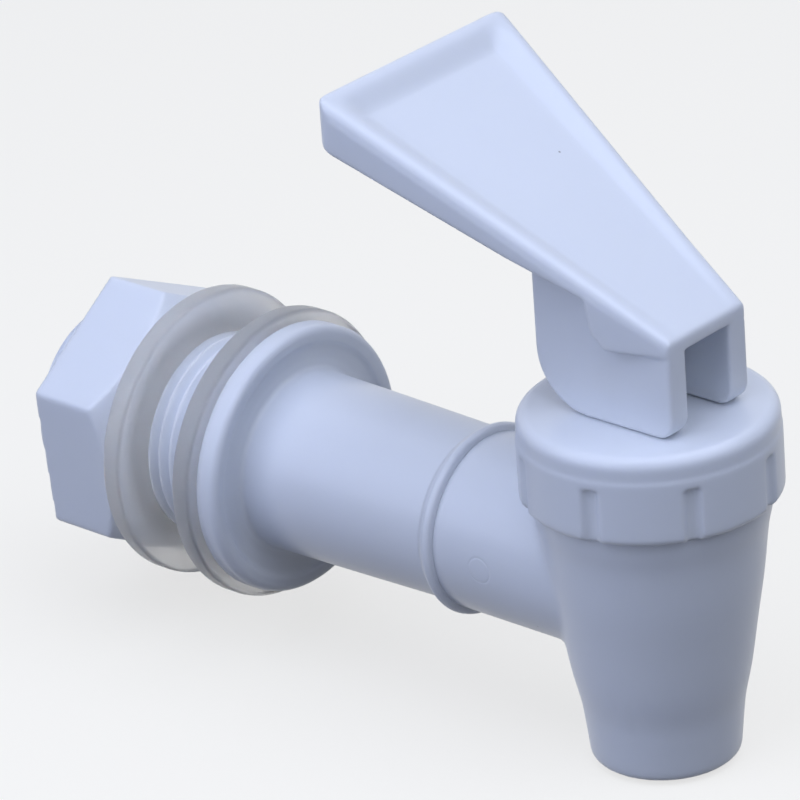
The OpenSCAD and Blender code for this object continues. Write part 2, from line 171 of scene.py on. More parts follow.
def pick(piece):
    """Makes piece the only selected object and the active one."""
    if bpy.context.object and bpy.context.object.mode != "OBJECT":
        bpy.ops.object.mode_set(mode="OBJECT")
    bpy.ops.object.select_all(action="DESELECT")
    piece.select_set(True)
    bpy.context.view_layer.objects.active = piece
    return piece


@contextmanager
def editing(piece):
    """Edit mode with the whole of piece selected, and object mode again at the end."""
    pick(piece)
    bpy.ops.object.mode_set(mode="EDIT")
    bpy.ops.mesh.select_all(action="SELECT")
    yield
    bpy.ops.object.mode_set(mode="OBJECT")


def arc(centre, radius, start, end, steps=8):
    """Points of an arc about centre from start to end, in degrees."""
    points = []
    for i in range(steps + 1):
        a = math.radians(start + (end - start) * i / steps)
        points.append((centre[0] + radius * math.cos(a), centre[1] + radius * math.sin(a)))
    return points


def rounded(corners, radii, steps=6):
    """Closed outline of corners, each rounded by its radius."""
    points = []
    count = len(corners)
    for i, radius in enumerate(radii):
        here = Vector(corners[i])
        if radius <= 0:
            points.append(tuple(here))
            continue
        before = (Vector(corners[i - 1]) - here).normalized()
        after = (Vector(corners[(i + 1) % count]) - here).normalized()
        half = before.angle(after) / 2
        centre = here + (before + after).normalized() * radius / math.sin(half)
        first = here + before * radius / math.tan(half) - centre
        turn = first.angle_signed(here + after * radius / math.tan(half) - centre)
        for k in range(steps + 1):
            a = -turn * k / steps
            points.append((
                centre.x + first.x * math.cos(a) - first.y * math.sin(a),
                centre.y + first.x * math.sin(a) + first.y * math.cos(a),
            ))
    return points


def flow(knots, steps=6):
    """Smooth curve through knots."""
    padded = [knots[0], *knots, knots[-1]]
    points = []
    for i in range(1, len(padded) - 2):
        p0, p1, p2, p3 = (Vector(p) for p in padded[i - 1:i + 3])
        for k in range(steps):
            t = k / steps
            point = 0.5 * (
                2 * p1 + (p2 - p0) * t + (2 * p0 - 5 * p1 + 4 * p2 - p3) * t * t
                + (3 * p1 - p0 - 3 * p2 + p3) * t ** 3
            )
            points.append(tuple(point))
    points.append(tuple(knots[-1]))
    return points


def as_profile(points):
    """Turns points of (station, radius) into the (radius, station) that turned takes."""
    return [(radius, station) for station, radius in points]


def wire(name, points, closed=True):
    """A new object that holds points joined by edges."""
    mesh = bpy.data.meshes.new(name)
    edges = [(i, i + 1) for i in range(len(points) - 1)]
    if closed:
        edges.append((len(points) - 1, 0))
    mesh.from_pydata(points, edges, [])
    piece = bpy.data.objects.new(name, mesh)
    bpy.context.collection.objects.link(piece)
    return pick(piece)


def turned(name, profile, axis="Z", centre=(0.0, 0.0, 0.0), steps=128, closed=True):
    """Spins a profile of (radius, station) points about an axis through centre."""
    c = Vector(centre)
    if axis == "Z":
        points = [(c.x + r, c.y, c.z + s) for r, s in profile]
        direction = (0, 0, 1)
    elif axis == "X":
        points = [(c.x + s, c.y, c.z + r) for r, s in profile]
        direction = (1, 0, 0)
    else:
        points = [(c.x + r, c.y + s, c.z) for r, s in profile]
        direction = (0, 1, 0)
    piece = wire(name, points, closed)
    with editing(piece):
        bpy.ops.mesh.spin(steps=steps, angle=math.tau, center=c, axis=direction)
        bpy.ops.mesh.select_all(action="SELECT")
        bpy.ops.mesh.remove_doubles(threshold=MERGE)
        bpy.ops.mesh.normals_make_consistent(inside=False)
    return piece


def prism(name, outline, plane, low, high):
    """Extrudes a closed outline in plane XY, XZ or YZ from low to high."""
    place, travel = {
        "XY": (lambda p: (p[0], p[1], low), (0, 0, high - low)),
        "XZ": (lambda p: (p[0], low, p[1]), (0, high - low, 0)),
        "YZ": (lambda p: (low, p[0], p[1]), (high - low, 0, 0)),
    }[plane]
    piece = wire(name, [place(p) for p in outline])
    with editing(piece):
        bpy.ops.mesh.remove_doubles(threshold=MERGE)
        bpy.ops.mesh.edge_face_add()
        bpy.ops.mesh.extrude_region_move(TRANSFORM_OT_translate={"value": travel})
        bpy.ops.mesh.select_all(action="SELECT")
        bpy.ops.mesh.normals_make_consistent(inside=False)
    return piece


def finish_with(piece, kind, **settings):
    """Adds a modifier with its settings and applies it."""
    pick(piece)
    modifier = piece.modifiers.new(kind.lower(), kind)
    for key, value in settings.items():
        setattr(modifier, key, value)
    bpy.ops.object.modifier_apply(modifier=modifier.name)
    return piece


def combine(piece, tool, how="DIFFERENCE"):
    """Cuts piece with tool, joins them or keeps what they share."""
    finish_with(piece, "BOOLEAN", object=tool, operation=how, solver="EXACT")
    bpy.data.objects.remove(tool)
    return piece


def join_meshes(piece, other):
    """Adds the mesh of other to piece as it is."""
    pick(piece)
    other.select_set(True)
    bpy.ops.object.join()
    return piece


def moulded(piece, voxel, passes, edge=0.0):
    """Gives piece the soft edges of a moulding, or exact ones of radius edge."""
    form = None
    flat, sharp = math.radians(0.5), math.radians(28)
    if edge:
        with editing(piece):
            bpy.ops.mesh.remove_doubles(threshold=4 * MERGE)
            bpy.ops.mesh.dissolve_limited(angle_limit=flat)
        finish_with(piece, "BEVEL", width=edge, segments=4, limit_method="ANGLE",
                    angle_limit=sharp, use_clamp_overlap=False)
        form = piece.copy()
        form.data = piece.data.copy()
        bpy.context.collection.objects.link(form)
    finish_with(piece, "REMESH", mode="VOXEL", voxel_size=voxel, adaptivity=0)
    finish_with(piece, "SMOOTH", factor=0.5, iterations=passes)
    if form:
        finish_with(piece, "SHRINKWRAP", target=form, wrap_method="NEAREST_SURFACEPOINT")
        finish_with(piece, "SMOOTH", factor=0.5, iterations=1)
        bpy.data.objects.remove(form)
    return piece


def to_frame(piece, body, slot, material, *nodes, angle=None):
    """Makes piece metres, shades it, paints it, ties it to its body and hides the CAD nodes it
    replaces.
    """
    pick(piece)
    piece.scale = (MM, MM, MM)
    bpy.ops.object.transform_apply(location=True, rotation=True, scale=True)
    if angle is None:
        bpy.ops.object.shade_smooth()
    else:
        bpy.ops.object.shade_smooth_by_angle(angle=math.radians(angle))
    piece.data.materials.clear()
    piece.data.materials.append(bpy.data.materials[material])
    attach(piece, body)
    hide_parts(*nodes)
    return piece


def ramp(x):
    """Smooth rise from 0 at x = 0 to 1 at x = 1."""
    x = min(max(x, 0.0), 1.0)
    return x * x * (3 - 2 * x)


# Finishes

def add_node(tree, kind, place, **values):
    """A node at place, with its input values set by name."""
    node = tree.nodes.new(kind)
    node.location = place
    for key, value in values.items():
        if key in node.inputs:
            node.inputs[key].default_value = value
        else:
            setattr(node, key, value)
    return node


def feed(tree, socket, value):
    """Links value to socket where it is a socket itself, and else sets it there."""
    if isinstance(value, bpy.types.NodeSocket):
        tree.links.new(value, socket)
    else:
        socket.default_value = value


def maths(tree, operation, place, *values):
    """Result of a Math node, whose values are sockets or plain numbers."""
    node = add_node(tree, "ShaderNodeMath", place, operation=operation)
    for socket, value in zip(node.inputs, values):
        feed(tree, socket, value)
    return node.outputs[0]


def mapped(tree, place, value, start, end, low, high, **values):
    """Result of a Map Range node that takes value from start..end to low..high."""
    node = add_node(tree, "ShaderNodeMapRange", place, **{
        "From Min": start, "From Max": end, "To Min": low, "To Max": high, **values,
    })
    tree.links.new(value, node.inputs["Value"])
    return node.outputs["Result"]


def mixed(tree, place, factor, first, second):
    """Result of a Mix Shader node: first where factor is 0, second where it is 1."""
    node = add_node(tree, "ShaderNodeMixShader", place)
    for socket, value in zip(node.inputs, (factor, first, second)):
        feed(tree, socket, value)
    return node.outputs[0]


def moulding_group():
    """Group: faint mottling, specks and a fine satin grain for moulded surfaces."""
    tree = bpy.data.node_groups.new("moulding_grain", "ShaderNodeTree")
    for name, kind, value in (
        ("Colour", "NodeSocketColor", (0.7, 0.74, 0.86, 1)),
        ("Mottle", "NodeSocketFloat", 0.04),
        ("Specks", "NodeSocketFloat", 0.5),
        ("Gloss", "NodeSocketFloat", 0.34),
        ("Grain", "NodeSocketFloat", 0.1),
        ("Scale", "NodeSocketFloat", 1.0),
    ):
        socket = tree.interface.new_socket(name, in_out="INPUT", socket_type=kind)
        socket.default_value = value
    for name, kind in (
        ("Colour", "NodeSocketColor"),
        ("Roughness", "NodeSocketFloat"),
        ("Normal", "NodeSocketVector"),
    ):
        tree.interface.new_socket(name, in_out="OUTPUT", socket_type=kind)
    join = tree.links.new
    given = add_node(tree, "NodeGroupInput", (-1000, 0)).outputs
    result = add_node(tree, "NodeGroupOutput", (700, 0)).inputs
    place = add_node(tree, "ShaderNodeTexCoord", (-1200, -300))
    scaled = add_node(tree, "ShaderNodeVectorMath", (-1000, -300), operation="SCALE")
    join(place.outputs["Object"], scaled.inputs[0])
    join(given["Scale"], scaled.inputs["Scale"])
    cloud = add_node(tree, "ShaderNodeTexNoise", (-760, 200), Scale=55.0, Detail=3.0,
                     Roughness=0.5)
    fleck = add_node(tree, "ShaderNodeTexVoronoi", (-760, -120), Scale=430.0, Randomness=1.0)
    fine = add_node(tree, "ShaderNodeTexNoise", (-760, -460), Scale=2600.0, Detail=2.0)
    wave = add_node(tree, "ShaderNodeTexNoise", (-760, -760), Scale=140.0, Detail=2.0)
    for texture in (cloud, fleck, fine, wave):
        join(scaled.outputs["Vector"], texture.inputs["Vector"])
    # Mottling: the colour swings a little about its own value
    swing = mapped(tree, (-540, 260), cloud.outputs["Fac"], 0.1, 0.9, -1.0, 1.0)
    amount = maths(tree, "MULTIPLY", (-360, 260), swing, given["Mottle"])
    light = maths(tree, "ADD", (-180, 260), amount, 1.0)
    tinted = add_node(tree, "ShaderNodeVectorMath", (0, 200), operation="SCALE")
    join(given["Colour"], tinted.inputs[0])
    join(light, tinted.inputs["Scale"])
    # Specks: a tiny dark grain in about one cell of fifty
    near = mapped(tree, (-540, -60), fleck.outputs["Distance"], 0.04, 0.09, 1.0, 0.0)
    part = add_node(tree, "ShaderNodeSeparateColor", (-540, -240))
    join(fleck.outputs["Color"], part.inputs[0])
    rare = maths(tree, "GREATER_THAN", (-360, -240), part.outputs[0], 0.98)
    mask = maths(tree, "MULTIPLY", (-180, -120), near, rare)
    dark = maths(tree, "MULTIPLY", (0, -60), mask, given["Specks"])
    speckled = add_node(tree, "ShaderNodeMix", (220, 160), data_type="RGBA")
    join(dark, speckled.inputs["Factor"])
    join(tinted.outputs["Vector"], speckled.inputs[6])
    speckled.inputs[7].default_value = (0.12, 0.11, 0.10, 1)
    join(speckled.outputs[2], result["Colour"])
    # Gloss: patches that are a little duller or shinier
    sheen = mapped(tree, (-180, -380), wave.outputs["Fac"], 0.0, 1.0, -0.03, 0.03)
    join(maths(tree, "ADD", (40, -380), sheen, given["Gloss"]), result["Roughness"])
    # Grain: fine texture of the mould
    height = maths(tree, "ADD", (-360, -620), fine.outputs["Fac"], wave.outputs["Fac"])
    bump = add_node(tree, "ShaderNodeBump", (220, -560), Distance=0.06 * MM)
    join(given["Grain"], bump.inputs["Strength"])
    join(height, bump.inputs["Height"])
    join(bump.outputs["Normal"], result["Normal"])
    return tree


def finish_material(name, colour, group, **values):
    """A material that takes colour, roughness and normal from the moulding group."""
    material = bpy.data.materials.new(name)
    material.use_nodes = True
    tree = material.node_tree
    tree.nodes.clear()
    out = add_node(tree, "ShaderNodeOutputMaterial", (600, 0))
    shader = add_node(tree, "ShaderNodeBsdfPrincipled", (300, 0))
    grain = add_node(tree, "ShaderNodeGroup", (0, 0), node_tree=group)
    grain.inputs["Colour"].default_value = (*colour, 1)
    for key, value in values.items():
        inputs = grain.inputs if key in grain.inputs else shader.inputs
        inputs[key.replace("_", " ")].default_value = value
    join = tree.links.new
    join(grain.outputs["Colour"], shader.inputs["Base Color"])
    join(grain.outputs["Roughness"], shader.inputs["Roughness"])
    join(grain.outputs["Normal"], shader.inputs["Normal"])
    join(shader.outputs["BSDF"], out.inputs["Surface"])
    return material


def press_ring(material, centre, radius):
    """Adds a faint pressed ring, as an ejector leaves it, to a moulded material."""
    width, depth = 0.24 * MM, 0.09 * MM
    tree = material.node_tree
    join = tree.links.new
    shader = next(n for n in tree.nodes if n.type == "BSDF_PRINCIPLED")
    grain = next(n for n in tree.nodes if n.type == "GROUP")
    place = add_node(tree, "ShaderNodeTexCoord", (-700, -500))
    far = add_node(tree, "ShaderNodeVectorMath", (-500, -500), operation="DISTANCE")
    far.inputs[1].default_value = [c * MM for c in centre]
    join(place.outputs["Object"], far.inputs[0])
    off = maths(tree, "SUBTRACT", (-320, -500), far.outputs["Value"], radius * MM)
    off = maths(tree, "ABSOLUTE", (-140, -500), off)
    groove = mapped(tree, (40, -500), off, 0.0, width, 0.0, 1.0,
                    interpolation_type="SMOOTHSTEP")
    bump = add_node(tree, "ShaderNodeBump", (220, -500), Strength=0.5, Distance=depth)
    join(groove, bump.inputs["Height"])
    join(grain.outputs["Normal"], bump.inputs["Normal"])
    join(bump.outputs["Normal"], shader.inputs["Normal"])


class SPIGOT_OT_finishes(bpy.types.Operator):
    """Makes the finishes: moulded plastic, silicone and spring steel"""

    bl_idname = "spigot.finishes"
    bl_label = "Finishes"

    def execute(self, context):
        colours = context.scene.spigot_colours
        group = moulding_group()
        ring_centre, ring_r = (44.2, -11.2, -0.2), 1.65
        finish_material(
            "moulded_plastic", colours.plastic, group, Mottle=0.02, Specks=0.7, Gloss=0.31,
            Grain=0.12, Subsurface_Weight=0.35, Subsurface_Radius=(0.0022, 0.0022, 0.0024),
            Subsurface_Scale=1.0, IOR=1.49,
        )
        spout = bpy.data.materials["moulded_plastic"].copy()
        spout.name = "moulded_spout_plastic"
        press_ring(spout, ring_centre, ring_r)
        finish_material(
            "silicone_rubber", colours.silicone, group, Mottle=0.05, Specks=0.5, Gloss=0.33,
            Grain=0.1, Subsurface_Weight=0.9, Subsurface_Radius=(0.0045, 0.0042, 0.0040),
            Subsurface_Scale=1.0, Transmission_Weight=0.7, IOR=1.41,
        )
        finish_material(
            "spring_steel", colours.steel, group, Mottle=0.05, Specks=0.0, Gloss=0.33, Grain=0.1,
            Metallic=1.0,
        )
        return {"FINISHED"}


# Pieces

class SPIGOT_OT_shank(bpy.types.Operator):
    """Flange and tube with the rolled lip, and the threaded shank behind them"""

    bl_idname = "spigot.shank"
    bl_label = "Shank, flange and tube"

    def execute(self, context):
        flange_r, flange_t, back_edge = 17.4, 3.2, 0.35
        rim_arc, dish, root_arc = 1.0, 0.62, 0.72
        tube_r, tube_end_r, lip_r = 11.7, 11.1, 12.22
        bore_r, socket_r, socket_depth = 8.0, 9.3, 14
        face_x, end = FLANGE_X + flange_t, SHANK_HIGH.x
        rim = arc((face_x - rim_arc, flange_r - rim_arc), rim_arc, 90, 0, 8)
        dished_face = flow([
            (face_x - 0.02, flange_r - 1.15), (face_x - 0.05, flange_r - 1.75),
            (face_x - 0.16, flange_r - 2.02), (face_x - 0.45, flange_r - 2.35),
            (face_x - dish, flange_r - 2.9), (face_x - dish, tube_r + 1.6),
            (face_x - 0.54, tube_r + 1.0),
        ], 4)
        root = arc((face_x + 0.22, tube_r + root_arc), root_arc, 180, 270, 10)
        tube_line = flow([
            (face_x + 1.0, tube_r - 0.01),
            (face_x + 14, (tube_r + tube_end_r) / 2 + 0.02),
            (end - 3.6, tube_end_r), (end - 2.5, tube_end_r + 0.08),
            (end - 1.85, tube_end_r + 0.36), (end - 1.3, lip_r - 0.22), (end - 0.85, lip_r),
            (end - 0.42, lip_r - 0.08), (end - 0.15, lip_r - 0.3), (end, lip_r - 0.72),
        ], 5)
        tube = turned("inlet_tube", [
            (bore_r, FLANGE_X), (flange_r - back_edge, FLANGE_X), (flange_r, FLANGE_X + back_edge),
            *as_profile(rim + dished_face + root + tube_line),
            (socket_r, end), (socket_r, end - socket_depth), (bore_r, end - socket_depth),
        ], "X", steps=160)
        join_meshes(tube, self.thread(context.scene.spigot_sizes, bore_r))
        tube.name = "moulded_shank"
        to_frame(tube, "tap", "white_plastic", "moulded_plastic", "inlet_shank", angle=40)
        return {"FINISHED"}

    def thread(self, sizes, bore_r):
        """Threaded sleeve: a ring of closed sections whose radius follows the helix."""
        crest, flank, root_flat = 13.1, 1.35, 0.17
        lead, first_drop, mouth = 0.95, 1.15, 0.5
        around, per_pitch = 120, 12
        start, end = SHANK_LOW.x, FLANGE_X + 0.05
        rows = int((end - start) / sizes.pitch * per_pitch)
        inner = [(bore_r, end), (bore_r, start + mouth), (bore_r + mouth, start)]
        section = rows + 1 + len(inner)
        bpy.ops.mesh.primitive_torus_add(
            major_segments=around, minor_segments=section, major_radius=10, minor_radius=2,
        )
        sleeve = bpy.context.object
        sleeve.name = "threaded_sleeve"
        for vertex in sleeve.data.vertices:
            i, j = divmod(vertex.index, section)
            turn = i / around
            if j <= rows:
                x = start + (end - start) * j / rows
                # Flat crests and roots with straight flanks between them
                phase = (x / sizes.pitch - turn) % 1.0
                rise = ramp(flank * (1 - abs(2 * phase - 1)) - root_flat)
                r = crest - sizes.thread_depth * (1 - rise)
                # The threads start on a cone of 45 degrees
                r = min(r, crest - lead + (x - start))
                if j == 0:
                    r = crest - first_drop
            else:
                r, x = inner[j - rows - 1]
            a = math.tau * turn
            vertex.co = (x, r * math.cos(a), r * math.sin(a))
        with editing(sleeve):
            bpy.ops.mesh.normals_make_consistent(inside=False)
        return sleeve


class SPIGOT_OT_spout(bpy.types.Operator):
    """Cup with its tapered outlet, the branch and the threaded neck, in one moulding"""

    bl_idname = "spigot.spout"
    bl_label = "Spout"

    def execute(self, context):
        sizes = context.scene.spigot_sizes
        centre = (STEM_X, 0, 0)
        shoulder_z, foot = CAP_LOW.z - 0.1, SPOUT_LOW.z
        neck_r, neck_edge = 13.3, 0.4
        foot_r, foot_arc = 9.3, 0.9
        branch_r, bore_r, branch_end = 11.3, 7.8, SHANK_HIGH.x
        spigot_r, spigot_edge = 9.2, 0.3
        chamber_r, seat_r, seat_z, land_z, outlet_r = 11.3, 5.8, -8.4, -9.6, 7.4
        # The cup's outline, from the cap down to the foot
        cup_line = flow([
            (14.65, shoulder_z), (14.35, 9.0), (13.78, 6.3), (13.02, 0.3), (12.03, -5.7),
            (11.05, -11.8), (10.15, -15.9), (9.85, -17.8),
        ])
        cup_line += flow([(9.83, -18.1), (9.6, -20.0), (foot_r, foot + foot_arc)], 3)
        cup_line += arc((foot_r - foot_arc, foot + foot_arc), foot_arc, 0, -90, 5)
        spout = turned("spout", [
            (0, RIM_Z), (neck_r - neck_edge, RIM_Z), (neck_r, RIM_Z - neck_edge),
            (neck_r, shoulder_z), *cup_line, (0, foot),
        ], "Z", centre, 128, closed=False)
        branch = turned("branch", [
            (0, branch_end - 0.5), (branch_r, branch_end - 0.5), (branch_r, STEM_X), (0, STEM_X),
        ], "X", steps=128, closed=False)
        combine(spout, branch, "UNION")
        # Inside: the chamber under the cap, the valve's seat and the outlet
        chamber = turned("chamber", [
            (0, RIM_Z + 1), (chamber_r, RIM_Z + 1), (chamber_r, 6.3), (9.46, land_z),
            (7.5, land_z), (7.0, seat_z), (seat_r, seat_z), (seat_r, seat_z - 3),
            (outlet_r, foot + 11), (outlet_r, foot - 1), (0, foot - 1),
        ], "Z", centre, 96, closed=False)
        combine(spout, chamber)
        bore = turned("bore", [
            (0, branch_end - 1), (bore_r, branch_end - 1), (bore_r, STEM_X - 5), (0, STEM_X - 5),
        ], "X", steps=96, closed=False)
        combine(spout, bore)
        moulded(spout, sizes.voxel * 1.3, passes=3)
        self.blend_branch(spout, branch_r)
        spigot = turned("spigot", [
            (bore_r, branch_end + 0.4), (spigot_r, branch_end + 0.4),
            (spigot_r, SPOUT_LOW.x + spigot_edge), (spigot_r - spigot_edge, SPOUT_LOW.x),
            (bore_r, SPOUT_LOW.x),
        ], "X", steps=96)
        join_meshes(spout, spigot)
        spout.name = "moulded_spout"
        to_frame(spout, "tap", "white_plastic", "moulded_spout_plastic", "spout_body", angle=50)
        return {"FINISHED"}

    def blend_branch(self, spout, branch_r):
        """Softens the corner where the branch meets the cup, as the mould's fillet does."""
        branch_wall, cup_wall, cup_top = 10, 9.5, 10.3
        middle_r, taper = 13.0, 0.13  # the cup's radius at the branch's axis, and its rise
        reach = 2.2
        group = spout.vertex_groups.new(name="blend")
        for vertex in spout.data.vertices:
            x, y, z = vertex.co.x - STEM_X, vertex.co.y, vertex.co.z
            across, around = math.hypot(y, z), math.hypot(x, y)
            # The inner walls and the cup's front half stay as they are
            if across < branch_wall or around < cup_wall or x > 0:
                continue
            off_branch = abs(across - branch_r)
            off_cup = abs(around - (middle_r + taper * z))
            weight = ramp(1 - max(off_branch, off_cup) / reach)
            if weight > 0 and z < cup_top:
                group.add([vertex.index], weight, "REPLACE")
        finish_with(spout, "SMOOTH", factor=0.5, iterations=26, vertex_group="blend")


class SPIGOT_OT_cap(bpy.types.Operator):
    """Screwed cap with its grip notches"""

    bl_idname = "spigot.cap"
    bl_label = "Cap"

    def execute(self, context):
        sizes = context.scene.spigot_sizes
        low, top = CAP_LOW.z, CAP_TOP
        edge, hem, step = 1.6, 0.45, 0.14
        step_z, ceiling_z = top - 3.3, 20.3
        hole_r, neck_r = 3.35, 13.45
        count, phase = 8, 12.5
        floor_x, mouth_x, corner_r = CAP_R - sizes.notch_depth, CAP_R + 0.6, 0.5
        half_floor, half_mouth = sizes.notch_w / 4, sizes.notch_w * 0.75
        cap = turned("cap", [
            (CAP_R - hem, low), (CAP_R, low + hem), (CAP_R, step_z), (CAP_R - step, step_z + 0.1),
            *arc((CAP_R - step - edge, top - edge), edge, 0, 90, 10),
            (hole_r, top), (hole_r, ceiling_z), (neck_r, ceiling_z), (neck_r, low),
        ], "Z", (STEM_X, 0, 0), 160)
        for i in range(count):
            notch = prism("notch", rounded([
                (floor_x, -half_floor), (mouth_x, -half_mouth),
                (mouth_x, half_mouth), (floor_x, half_floor),
            ], (corner_r, 0, 0, corner_r)), "XY", low - 1, top - sizes.notch_top)
            notch.matrix_world = (
                Matrix.Translation((STEM_X, 0, 0))
                @ Matrix.Rotation(math.radians(phase + 360 / count * i), 4, "Z")
            )
            combine(cap, notch)
        moulded(cap, sizes.voxel, passes=3)
        cap.name = "moulded_cap"
        to_frame(cap, "tap", "white_plastic", "moulded_plastic", "bonnet_cap")
        return {"FINISHED"}


class SPIGOT_OT_lever(bpy.types.Operator):
    """Lever: hollow thumb paddle on a fork of two cheeks"""

    bl_idname = "spigot.lever"
    bl_label = "Lever"

    def execute(self, context):
        s = context.scene.spigot_sizes
        slope = math.tan(s.tilt)
        nose_z, sole = CAP_TOP + 12.75, CAP_TOP + 0.1
        reach, nose, rear = s.reach, s.nose, -10.8
        widen = (s.wide_w - s.nose_w) / 2 / (nose + reach)
        plate, skirt_t, skirt_curl = 2.0, 1.9, 1.6
        slot_w, hollow_x = 8.1, -2.6
        pin_hole_r, pin_reach = 2.05, 5.8
        past, over = 2, 90  # how far a cutter reaches past the lever, and above it

        def top_z(x):
            return nose_z + (nose - x) * slope

        def roof_z(x):
            drop = top_z(-reach) - plate - s.dish_depth / math.cos(s.tilt) - nose_z + plate
            return nose_z - plate + (nose - x) * drop / (nose + reach)

        def plan(inset, corner):
            side = inset * math.sqrt(1 + widen * widen)
            front, back = nose - inset, -reach + inset
            near = s.nose_w / 2 + widen * (nose - front) - side
            far = s.nose_w / 2 + widen * (nose - back) - side
            return rounded([
                (STEM_X + front, near), (STEM_X + back, far),
                (STEM_X + back, -far), (STEM_X + front, -near),
            ], (0, corner, corner, 0))

        def at(x, z):
            return (STEM_X + x, z)

        side = rounded([
            at(nose + 1, top_z(nose + 1)), at(-reach, top_z(-reach)),
            at(-reach, top_z(-reach) - s.skirt_h - 0.4),
            at(-reach + skirt_curl, top_z(-reach + skirt_curl) - s.skirt_h),
            at(rear, top_z(rear) - 3.7), at(-1.0, top_z(-1.0) - 2.1),
            at(-0.3, nose_z - 0.1), at(1.4, nose_z - 2.2),
            at(nose + 1, nose_z - plate),
        ], (0, 0.7, 1.9, 0, 4, 0.4, 0.9, 0.8, 0))
        paddle = prism("paddle", side, "XZ", -s.wide_w, s.wide_w)
        combine(paddle, prism("plan", plan(0, 2.0), "XY", 0, over), "INTERSECT")
        hollow = prism("hollow", [
            at(hollow_x, roof_z(hollow_x)), at(-reach - past, roof_z(-reach - past)),
            at(-reach - past, CAP_TOP), at(hollow_x, CAP_TOP),
        ], "XZ", -s.wide_w, s.wide_w)
        combine(hollow, prism("inner_plan", plan(skirt_t, 0.6), "XY", 0, over), "INTERSECT")
        combine(paddle, hollow)
        cheek = rounded([
            at(rear, sole), at(nose, sole), at(nose, nose_z - plate + 0.6),
            at(rear, top_z(rear) - plate),
        ], (7.5, 2.5, 0, 0), 12)
        combine(paddle, prism("cheeks", cheek, "XZ", -s.nose_w / 2, s.nose_w / 2), "UNION")
        combine(paddle, prism("slot", [
            at(nose + past, roof_z(nose + past)), at(rear - past, roof_z(rear - past)),
            at(rear - past, sole - past), at(nose + past, sole - past),
        ], "XZ", -slot_w / 2, slot_w / 2))
        combine(paddle, turned("pin_holes", [
            (0, -pin_reach), (pin_hole_r, -pin_reach), (pin_hole_r, pin_reach), (0, pin_reach),
        ], "Y", (STEM_X, 0, PIVOT_Z), 48, closed=False))
        moulded(paddle, s.voxel, passes=2, edge=0.45)
        self.round_rim(paddle, s, nose_z, widen)
        self.press_dish(paddle, s, nose_z, widen)
        paddle.name = "moulded_lever"
        to_frame(paddle, "lever", "white_plastic", "moulded_plastic", "lever")
        return {"FINISHED"}

    def paddle_top(self, s, nose_z, widen):
        """The paddle's top, as a function that gives a point's run, height and half width on
        it, with the direction out of it and its length.
        """
        along = Vector((-math.cos(s.tilt), 0, math.sin(s.tilt)))
        out = Vector((math.sin(s.tilt), 0, math.cos(s.tilt)))
        corner = Vector((STEM_X + s.nose, 0, nose_z))

        def place(point):
            off = point - corner
            run = off.dot(along)
            return run, off.dot(out), s.nose_w / 2 + widen * run * math.cos(s.tilt)

        return place, out, (s.nose + s.reach) / math.cos(s.tilt)

    def round_rim(self, paddle, s, nose_z, widen):
        """Rounds the long edges of the paddle's top and softens the rim all around."""
        nose_round, more_round, run_in = 0.8, 0.4, 12
        deep, band = 2.0, 1.6
        place, out, length = self.paddle_top(s, nose_z, widen)
        group = paddle.vertex_groups.new(name="rim")
        for vertex in paddle.data.vertices:
            u, w, half = place(vertex.co)
            r = nose_round + more_round * ramp(u / run_in)
            aside, above = r - half + abs(vertex.co.y), w + r
            far = math.hypot(aside, above)
            if aside > 0 and above > 0 and far > r and u > -0.5:
                vertex.co.y -= math.copysign(aside - aside * r / far, vertex.co.y)
                vertex.co -= out * (above - above * r / far)
            edge = min(half - abs(vertex.co.y), length - u + w * 0.5, u + w)
            if w > -deep and edge < band:
                weight = ramp(w + deep) * ramp((band - edge) / (band / 2))
                group.add([vertex.index], weight, "REPLACE")
        finish_with(paddle, "SMOOTH", factor=0.5, iterations=6, vertex_group="rim")

    def press_dish(self, paddle, s, nose_z, widen):
        """Sinks the thumb dish into the paddle's top, deepest at the wide end."""
        skin = 0.55
        land_side, land_end = 1.5, 1.7
        slope_nose, slope_more, slope_end = 1.2, 2.6, 3.8
        deepening = 0.9
        place, out, length = self.paddle_top(s, nose_z, widen)
        for vertex in paddle.data.vertices:
            u, w, half = place(vertex.co)
            if w < -skin or u < 0 or u > length:
                continue
            to_side = half - abs(vertex.co.y) - land_side
            to_end = length - u - land_end
            slope_side = slope_nose + slope_more * u / length
            depth = s.dish_depth * (u / length) ** deepening
            depth *= ramp(to_side / slope_side) * ramp(to_end / slope_end)
            vertex.co -= out * depth


